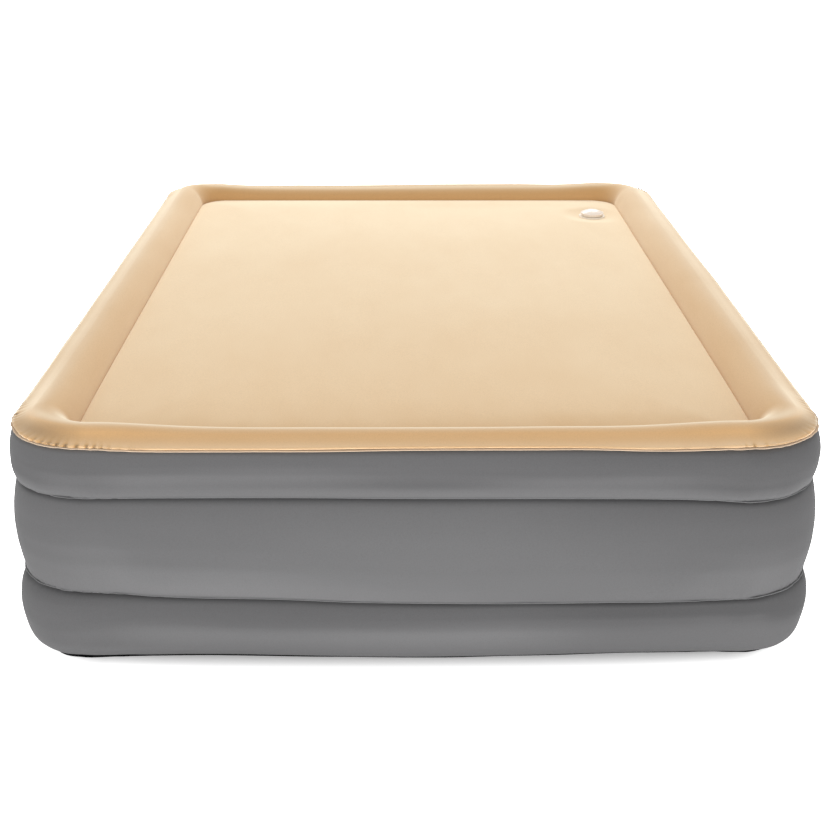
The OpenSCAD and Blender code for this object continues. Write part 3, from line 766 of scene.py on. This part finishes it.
def rim_section():
    """Closed profile with, for each point, its outward normal and distance from the seam."""
    outline = np.array(RIM_OUTLINE)
    outline[:, 0] += rim_max.x - 0.756
    outline[:, 1] += rim_max.z - 0.480
    outer = spline(outline, 58)
    # closer rows near the seam, where the gathers are
    gap = np.linalg.norm(outer - outer[-1], axis=1)
    rows = []
    for distance in (0.0026, 0.0015, 0.0007):
        i = np.where(gap > distance)[0][-1]
        t = (gap[i] - distance) / max(gap[i] - gap[i + 1], 1e-9)
        rows.append(outer[i] * (1 - t) + outer[i + 1] * t)
    outer = np.vstack([outer[gap > 0.0034], np.array(rows), outer[-1:]])
    tangent = np.gradient(outer, axis=0)
    tangent /= np.linalg.norm(tangent, axis=1)[:, None]
    normal = np.stack([-tangent[:, 1], tangent[:, 0]], 1)
    inner = (outer - normal * SKIN)[::2][::-1]
    profile = np.vstack([outer, inner])
    return (profile, np.vstack([normal, normal[::2][::-1]]),
            np.linalg.norm(profile - outer[-1], axis=1))


rim_profile, rim_normal, rim_reach = rim_section()
rim_path = Outline(0.130, FINE, COARSE)


def rim_shift(path, profile):
    d = rim_reach[None, :]
    near, ny = path.near, path.ny
    # gathers and soft folds at the seam
    strength = 0.08 + 0.92 * near
    h = 0.0062 * strength * creases(path, **RIM_GATHERS) * np.exp(-d / 0.0080) * (d > 0.0012)
    h += 0.0013 * strength * wander(path, 905, 0.030) * np.exp(-(d / 0.022) ** 1.5)
    # slow undulation of the bolster
    belly = np.exp(-((d - 0.058) / 0.036) ** 2)
    h += (0.0011 * wander(path, 911, 0.30) + 0.0006 * wander(path, 912, 0.11)) * belly
    # the corners dome up, most on the inner side
    h += 0.0098 * path.wide * np.exp(-((d - 0.069) / 0.031) ** 2)
    # along the sides the bolster stays full right down to the seam
    h += 0.0023 * np.maximum(1 - ny ** 2, 0.0) * np.exp(-((d - 0.030) / 0.019) ** 2)
    # the foot end is a touch fuller than the head end
    y = path.y / CORNER_Y
    h += np.where(y > 0, 0.0, 0.0032 * y ** 2) * np.exp(-((d - 0.060) / 0.040) ** 2)
    # short gathers where the inside corner pulls in
    outward = np.clip((profile[:, 0] - profile[:, 0].min()) / 0.03, 0, 1)
    h += (0.0008 * near ** 2 * wander(path, 915, 0.034) * (1 - outward)
          * smooth01((profile[:, 1] - 0.425) / 0.02))
    dx, dz = h * rim_normal[:, 0], h * rim_normal[:, 1]
    # close to the seam it follows the seam's outline and drift
    follow = np.exp(-(d / 0.05) ** 1.5)
    dip = head_dip(path)
    dz = dz + (top_drift(path) - dip) * follow + dip * (1 - smooth01((d - 0.060) / 0.050))
    return dx + top_bow(path) * follow, dz


rim = sweep("rim_skin", rim_profile, rim_path, rim_shift, materials["rim_flock"])


def rim_painted_shading(x, y, z):
    """Painted highlight along the ridge, which swings inwards at the foot corners; painted shade
    inside it there.
    """
    past_x = np.maximum(np.abs(x) - CORNER_X, 0)
    past_y = np.maximum(np.abs(y) - CORNER_Y, 0)
    radius = np.hypot(past_x, past_y) + 1e-6
    ny = past_y / radius
    corner = 4 * ny ** 2 * (1 - ny ** 2)
    d = rim_max.x - CORNER_X - radius
    foot = y < 0
    ridge = 0.040 + 0.036 * ny
    painted_shading = (np.where(foot, 0.50, 0.45) * smooth01(ny / 0.5) * np.exp(-((d - ridge) / 0.012) ** 2)
           * np.where(foot, 1.0, ny ** 2))
    # painted highlight on the outer edge and painted shade in the inner corners of the foot end
    painted_shading += 0.28 * ny ** 2 * foot * np.exp(-(d / 0.021) ** 2)
    painted_shading -= 0.36 * foot * corner ** 0.5 * np.exp(-((d - ridge + 0.034) / 0.023) ** 2)
    # painted light: the long sides go paler towards the head
    painted_shading += np.where(x > 0, 0.17, 0.08) * (1 - ny ** 2) * smooth01((y - 0.1) / 0.8)
    # painted shade: small dark nicks where the gathers run into the seam
    nick = np.clip((-creases(rim_path, **RIM_GATHERS) - 0.14) / 0.40, 0, 1) * rim_path.near ** 2
    return painted_shading - (0.80 * nick * np.exp(-(rim_reach[None, :] / 0.0052) ** 2)).reshape(-1)


set_painted_shading(rim, rim_painted_shading)

# ---------------------------------------------------------------- sleeping panel
PANEL_R = 0.075                                     # corner radius
PANEL_BULGE = 0.004                                 # the cover bulges against the bolster
Z_DECK = panel_min.z + 0.001                        # underside of the panel
# (height above the underside, offset from the outline) up the side
PANEL_SIDE = ((0.0, -0.004), (0.005, -0.0025), (0.012, -0.0005), (0.020, 0.0022))
# distances in from the bulged outline of the loops on top
PANEL_LOOPS = (0.0, 0.0006, 0.0016, 0.003, 0.0048, 0.007, 0.0098, 0.0135, 0.019, 0.027, 0.037,
               0.049, 0.062)


def panel_height(x, y, d):
    """Top surface at distance d in from the outline."""
    from_foot = np.maximum(y + panel_max.y, 0)
    r = 0.010 + 0.010 * np.exp(-from_foot / 0.10)
    edge = np.where(d < r, np.sqrt(np.maximum(r * r - (r - d) ** 2, 0)) - r, 0.0)
    crown = 0.0070 * (1 - np.exp(-d / 0.115))
    waves = (0.0016 * np.sin(x * 3.1 + 0.4) * np.cos(y * 2.3 + 0.9)
             + 0.0009 * np.sin(x * 7.7 + y * 3.3 + 1.3) + 0.0007 * np.sin(y * 9.1 - x * 2.2 + 4.0))
    foot = -0.0065 * np.exp(-from_foot / 0.024)
    level = panel_max.z
    z = level + 0.0005 + edge + crown + foot + waves * smooth01(d / 0.12)
    # dished where the valve's flange is welded on
    k = smooth01((np.hypot(x - VALVE_X, y - VALVE_Y) - 0.038) / 0.060)
    return level * (1 - k) + z * k


def panel_mesh(name):
    """Loops run up the side and inwards to a core rectangle; grids fill it above and below."""
    core_x, core_y = panel_max.x - PANEL_R, panel_max.y - PANEL_R
    nx, ny = ((110, 154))
    arc_steps = 22
    grid_x, grid_y = np.linspace(-core_x, core_x, nx), np.linspace(-core_y, core_y, ny)
    border = ([(i, 0) for i in range(nx - 1)] + [(nx - 1, j) for j in range(ny - 1)]
              + [(i, ny - 1) for i in range(nx - 1, 0, -1)] + [(0, j) for j in range(ny - 1, 0, -1)])
    corner_angles = {(0, 0): 180, (nx - 1, 0): 270, (nx - 1, ny - 1): 0, (0, ny - 1): 90}
    points, normals, cells = [], [], []
    for i, j in border:
        if (i, j) in corner_angles:
            angles = [math.radians(corner_angles[i, j] + 90 * k / arc_steps)
                      for k in range(arc_steps + 1)]
            found = [(math.cos(a), math.sin(a)) for a in angles]
        else:
            found = [(0, -1) if j == 0 else (1, 0) if i == nx - 1
                     else (0, 1) if j == ny - 1 else (-1, 0)]
        for normal in found:
            points.append((grid_x[i], grid_y[j]))
            normals.append(normal)
            cells.append((i, j))
    points, normals = np.array(points), np.array(normals)
    count = len(points)

    loops = []
    for rise, offset in PANEL_SIDE:
        loop = points + normals * (PANEL_R + offset)
        loops.append(np.column_stack([loop, np.full(count, Z_DECK + rise)]))
    outer = PANEL_R + PANEL_BULGE
    for inward in PANEL_LOOPS:
        loop = points + normals * (outer - inward)
        z = panel_height(loop[:, 0], loop[:, 1], np.full(count, inward))
        loops.append(np.column_stack([loop, z]))
    x, y = np.meshgrid(grid_x, grid_y, indexing="ij")
    inward = PANEL_R + np.minimum(core_x - np.abs(x), core_y - np.abs(y))
    top = np.stack([x, y, panel_height(x, y, inward)], -1).reshape(-1, 3)
    under = np.stack([x, y, np.full(x.shape, Z_DECK)], -1).reshape(-1, 3)
    top_start = len(loops) * count
    under_start = top_start + len(top)

    def index(start, i, j):
        return start + i * ny + j

    def grid(start):
        return [tuple(index(start, i + a, j + b) for a, b in ((0, 0), (1, 0), (1, 1), (0, 1)))
                for i in range(nx - 1) for j in range(ny - 1)]

    quads, triangles = bands(len(loops), count) + grid(top_start), []

    def stitch(first, start, above):
        """Joins a loop to a grid's border; at a corner the grid gives one point only."""
        for k in range(count):
            k2 = (k + 1) % count
            a, b = index(start, *cells[k]), index(start, *cells[k2])
            if a == b:
                triangles.append((first + k, first + k2, a) if above else (k2, k, a))
            else:
                quads.append((first + k, first + k2, b, a) if above else (k2, k, a, b))

    stitch(top_start - count, top_start, above=True)
    quads += [(a, d, c, b) for a, b, c, d in grid(under_start)]
    stitch(0, under_start, above=False)

    mesh = bpy.data.meshes.new(name)
    vertices = np.vstack(loops + [top, under])
    mesh.from_pydata([tuple(v) for v in vertices], [], quads + triangles)
    mesh.validate()
    mesh.update()
    bm = bmesh.new()
    bm.from_mesh(mesh)
    bmesh.ops.recalc_face_normals(bm, faces=bm.faces)
    bm.to_mesh(mesh)
    bm.free()
    smooth_faces(mesh)
    return mesh


def valve_cutter():
    """Upright cylinder through the panel, for the valve's neck."""
    z0, z1 = panel_min.z - 0.01, panel_max.z + 0.03
    radius = 0.0230
    bm = bmesh.new()
    bmesh.ops.create_cone(bm, cap_ends=True, segments=64, radius1=radius, radius2=radius,
                          depth=z1 - z0)
    bmesh.ops.translate(bm, verts=bm.verts, vec=(VALVE_X, VALVE_Y, (z0 + z1) / 2))
    return add_object("valve_cutter", mesh_from_bmesh(bm, "valve_cutter"))


def panel_painted_shading(x, y, z):
    """Painted light towards the foot end, painted shade where the sheet turns down into the groove.
    """
    from_foot = np.maximum(y - y.min(), 0)
    return 0.14 * np.exp(-(from_foot / 0.07) ** 2) - 0.50 * np.exp(-from_foot / 0.012)


panel = add_object("sleep_panel_skin", panel_mesh("sleep_panel_skin"), materials["tan_flock"])
cut(panel, valve_cutter())
smooth_faces(panel.data)                            # the hole's wall comes out flat-shaded
set_painted_shading(panel, panel_painted_shading)


# ---------------------------------------------------------------- painted light and shade of the tiers
def tier_painted_shading(z0, z1, knots, seams):
    """Painted light and shade of a tier's foot end, with painted shade along its seams.

    knots: (share of height, shade at the middle, its change to both sides, its change to the right)
    """
    share, middle_shade, to_sides, to_right = zip(*knots)

    def shade(x, y, z):
        t = np.clip((z - z0) / (z1 - z0), 0, 1)
        across = x / 0.76
        painted_shading = (np.interp(t, share, middle_shade)
               + np.interp(t, share, to_sides) * np.clip(np.abs(across), 0, 1) ** 1.7
               + np.interp(t, share, to_right) * smooth01((across - 0.15) / 0.4))
        # painted light and shade only at the foot end; the rest is painted a little darker
        painted_shading = painted_shading * smooth01((-y - 0.80) / 0.15) - 0.06 * smooth01((y + 0.95) / 0.15)
        # painted shade along each seam
        for seam in seams:
            painted_shading = painted_shading - 0.38 * np.exp(-np.abs(z - seam) / 0.0028)
        return painted_shading
    return shade


set_painted_shading(lower, tier_painted_shading(low_min.z, low_max.z, [
    (0.0, -0.10, 0.0, 0.0), (0.3, -0.10, 0.03, -0.05), (0.6, 0.01, 0.03, -0.26),
    (0.9, -0.18, 0.06, -0.12), (1.0, -0.24, 0.06, -0.05)], seams=(low_max.z,)))
set_painted_shading(middle, tier_painted_shading(mid_min.z, mid_max.z, [
    (0.0, 0.14, -0.42, 0.0), (0.2, 0.14, -0.45, 0.02), (0.37, 0.09, -0.36, 0.0),
    (0.52, 0.03, -0.22, -0.03), (0.73, -0.05, -0.09, -0.07), (0.93, -0.12, -0.11, -0.10),
    (1.0, -0.14, -0.11, -0.10)], seams=(mid_min.z, mid_max.z)))
set_painted_shading(upper, tier_painted_shading(top_min.z, Z_WALL_TOP, [
    (0.0, -0.02, 0.0, 0.0), (0.12, -0.11, -0.08, 0.0), (0.25, -0.15, -0.08, 0.03),
    (0.4, -0.07, -0.10, 0.07), (0.65, -0.03, -0.03, -0.04), (0.85, -0.06, -0.02, -0.09),
    (1.0, -0.06, -0.02, -0.09)], seams=(top_min.z,)))

# ---------------------------------------------------------------- bottom sheet
# (offset from the lower tier's foot, z) round the sheet's edge
BOTTOM_EDGE = ((-0.012, 0.0), (0.0002, 0.0), (0.0012, 0.0003), (0.0016, 0.0010),
               (0.0012, 0.0018), (0.0002, 0.0020), (-0.012, 0.0020))
BOTTOM_LIP = 0.0098                                 # how far the lip sticks out


def bottom_sheet(name):
    """Flat sheet on the floor with a thin wavy lip."""
    path = Outline(bottom_max.x - CORNER_X, fine=0.006, coarse=0.03)
    wave = 0.0009 * wander(path, 41, 0.07) + 0.0010 * path.near * wander(path, 43, 0.018)
    foot = low_max.x + LOW_SHAPE[0][1] - CORNER_X
    count = len(path.along)
    loops = []
    for offset, z in BOTTOM_EDGE:
        out = foot + offset + (BOTTOM_LIP + wave if offset > 0 else 0) + bottom_bow(path)
        loops.append(np.hstack([path.x + path.nx * out, path.y + path.ny * out,
                                np.full((count, 1), z)]))
    faces = bands(len(loops), count)
    faces.append(tuple(range(count))[::-1])
    faces.append(tuple((len(loops) - 1) * count + k for k in range(count)))
    mesh = bpy.data.meshes.new(name)
    mesh.from_pydata([tuple(v) for v in np.vstack(loops)], [], faces)
    mesh.update()
    bm = bmesh.new()
    bm.from_mesh(mesh)
    bmesh.ops.triangulate(bm, faces=[f for f in bm.faces if len(f.verts) > 4])
    bmesh.ops.recalc_face_normals(bm, faces=bm.faces)
    bm.to_mesh(mesh)
    bm.free()
    return add_object(name, mesh, materials["bottom_vinyl"])


bottom = bottom_sheet("bottom_skin")


# ---------------------------------------------------------------- pieces adapted from the CAD
def adapted(node, name, material, move=None):
    """Copy of a CAD piece; move edits its points in place."""
    mesh = nodes[node].data.copy()
    if move:
        points = read_points(mesh)
        move(points)
        mesh.vertices.foreach_set("co", points.ravel())
        mesh.update()
    mesh.materials.clear()
    return add_object(name, mesh, materials[material])


def trim_foam(points):
    """Shrinks the core so that it sits inside the rounded cover."""
    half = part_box("foam_core")[1]
    points[:, 0] *= (half.x - 0.010) / half.x
    points[:, 1] *= (half.y - 0.010) / half.y
    z = points[:, 2]
    points[:, 2] = np.where(z > 0.42, z - 0.0075, z)


def draw_in(distance):
    """Draws a waist sheet's outer strip in under the lip."""
    def move(points):
        x, y = points[:, 0], points[:, 1]
        centre_x = np.clip(x, -CORNER_X, CORNER_X)
        centre_y = np.clip(y, -CORNER_Y, CORNER_Y)
        d = np.hypot(x - centre_x, y - centre_y)
        k = np.where(d > 0.10, (d - distance) / np.maximum(d, 1e-6), 1.0)
        points[:, 0] = centre_x + (x - centre_x) * k
        points[:, 1] = centre_y + (y - centre_y) * k
    return move


webs = adapted("middle_beams", "middle_web_set", "clear_vinyl")
foam_core = adapted("foam_core", "foam_core_trim", "foam", trim_foam)
low_sheet = adapted("lower_waist_sheet", "lower_waist_web", "grey_vinyl", draw_in(0.044))
up_sheet = adapted("upper_waist_sheet", "upper_waist_web", "grey_vinyl", draw_in(0.024))

# ---------------------------------------------------------------- motion and replaced pieces
for ob, node, body, slot in (
        (lower, "lower_wall", "base", "grey_flock"),
        (middle, "middle_wall", "base", "grey_flock"),
        (upper, "upper_wall", "deck", "grey_flock"),
        (rim, "rim_cover", "deck", "tan_flock"),
        (panel, "sleep_cover", "deck", "tan_flock"),
        (bottom, "bottom_sheet", "base", "bottom_vinyl"),
        (webs, "middle_beams", "base", "clear_vinyl"),
        (foam_core, "foam_core", "deck", "foam"),
        (low_sheet, "lower_waist_sheet", "base", "grey_vinyl"),
        (up_sheet, "upper_waist_sheet", "deck", "grey_vinyl")):
    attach(ob, body)
    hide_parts(node)
for ob, body, slot in ((low_lip, "base", "grey_vinyl"), (up_lip, "deck", "grey_vinyl"),
                       (top_lip, "deck", "tan_flock")):
    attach(ob, body)

# the middle tier and its webs get meshes of their own; the real ones fold down to 27 mm as the bed
# empties
for ob in (middle, webs):
    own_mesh(ob)

# ---------------------------------------------------------------- floor
FLOOR_HALF = 40
FLOOR_GLOW = 2.6
# (share of GLOW_REACH out from GLOW_START, brightness): painted contact shadow, dim under and beside
# the bed
GLOW_SHADOW_RAMP = [(0.0, 0.10), (0.033, 0.18), (0.075, 0.33), (0.5, 0.95), (1.0, 1)]
GLOW_START = 0.110                                  # distance out from the corner centres
GLOW_REACH = 0.6


def floor_material():
    """White, glowing like a light table to paint light on the bed from below, dimmed near the bed
    into a painted contact shadow.
    """
    s = Shader("floor_white", (0.85, 0.85, 0.85), rough=0.9, specular=0.0)
    cloud = s.noise(scale=3.0, detail=2)
    s.surface("Base Color", s.mix(cloud, (0.845, 0.845, 0.845), (0.855, 0.855, 0.855)))
    s.surface("Emission Color", (1, 1, 1))
    place = s.node("SeparateXYZ")
    s.feed(place.inputs[0], s.coords)

    def past(axis, centre):
        size = s.math("ABSOLUTE", place.outputs[axis])
        return s.math("MAXIMUM", s.math("SUBTRACT", size, centre), 0.0)

    past_x, past_y = past(0, CORNER_X), past(1, CORNER_Y)
    away = s.math("SQRT", s.math("ADD", s.math("MULTIPLY", past_x, past_x),
                                 s.math("MULTIPLY", past_y, past_y)))
    # the glow starts closer in towards the sides, which narrows the painted contact shadow there
    size = s.math("ABSOLUTE", place.outputs[0])
    sideways = s.math("POWER", s.math("MULTIPLY", size, 1.0 / CORNER_X, True), 4.0)
    gap = s.math("ADD", s.math("SUBTRACT", away, GLOW_START), s.math("MULTIPLY", sideways, 0.016))
    glow = s.ramp(s.math("MULTIPLY", gap, 1.0 / GLOW_REACH, True), GLOW_SHADOW_RAMP)
    s.surface("Emission Strength", s.math("MULTIPLY", glow, FLOOR_GLOW))
    return materials["floor_white"]


floor_mesh = bpy.data.meshes.new("floor")
floor_mesh.from_pydata([(x * FLOOR_HALF, y * FLOOR_HALF, 0)
                        for x, y in ((-1, -1), (1, -1), (1, 1), (-1, 1))], [], [(0, 1, 2, 3)])
floor = add_object("floor", floor_mesh, floor_material())
floor.location.z = -0.0005


# ---------------------------------------------------------------- world, lights, camera
def studio_world(strength):
    """White light all round; the camera sees plain white whatever its strength."""
    world = bpy.data.worlds.new("studio")
    bpy.context.scene.world = world
    world.use_nodes = True
    tree = world.node_tree
    light = tree.nodes["Background"]
    rays = tree.nodes.new("ShaderNodeLightPath")
    seen = tree.nodes.new("ShaderNodeBackground")
    mix = tree.nodes.new("ShaderNodeMixShader")
    for background, level in ((light, strength), (seen, 1.0)):
        background.inputs["Color"].default_value = (1, 1, 1, 1)
        background.inputs["Strength"].default_value = level
    tree.links.new(rays.outputs["Is Camera Ray"], mix.inputs[0])
    tree.links.new(light.outputs[0], mix.inputs[1])
    tree.links.new(seen.outputs[0], mix.inputs[2])
    tree.links.new(mix.outputs[0], tree.nodes["World Output"].inputs["Surface"])


def area_light(name, place, target, width, height, power):
    data = bpy.data.lights.new(name, "AREA")
    data.energy = power
    data.shape = "RECTANGLE"
    data.size = width
    data.size_y = height
    ob = add_object(name, data)
    ob.location = place
    ob.rotation_euler = (Vector(target) - Vector(place)).to_track_quat("-Z", "Y").to_euler()


studio_world(strength=0.73)
area_light("back_soft", (0.0, 4.6, 3.4), (0, 0.4, 0.2), width=5.0, height=2.4, power=170)
area_light("front_soft", (0.0, -6.0, 1.6), (0, -1.0, 0.25), width=5.0, height=1.6, power=92)

# the camera looks down on the foot end
CAMERA_PLACE = (-0.032598, -3.020431, 1.422167)
CAMERA_RIGHT = Vector((0.9999244, -0.0119525, 0.0028734))
CAMERA_UP = Vector((0.0021704, 0.4017211, 0.9157595))
CAMERA_FORWARD = Vector((0.0120999, 0.915684, -0.4017167))

camera_data = bpy.data.cameras.new("camera")
camera = add_object("camera", camera_data)
camera_data.sensor_width = 36
camera_data.lens = 54.974783
camera_data.clip_end = 200
turn = Matrix((CAMERA_RIGHT, CAMERA_UP, -CAMERA_FORWARD)).transposed().to_4x4()
camera.matrix_world = Matrix.Translation(CAMERA_PLACE) @ turn
bpy.context.scene.camera = camera
bpy.context.scene.view_settings.view_transform = "Standard"
bpy.context.scene.view_settings.look = "None"
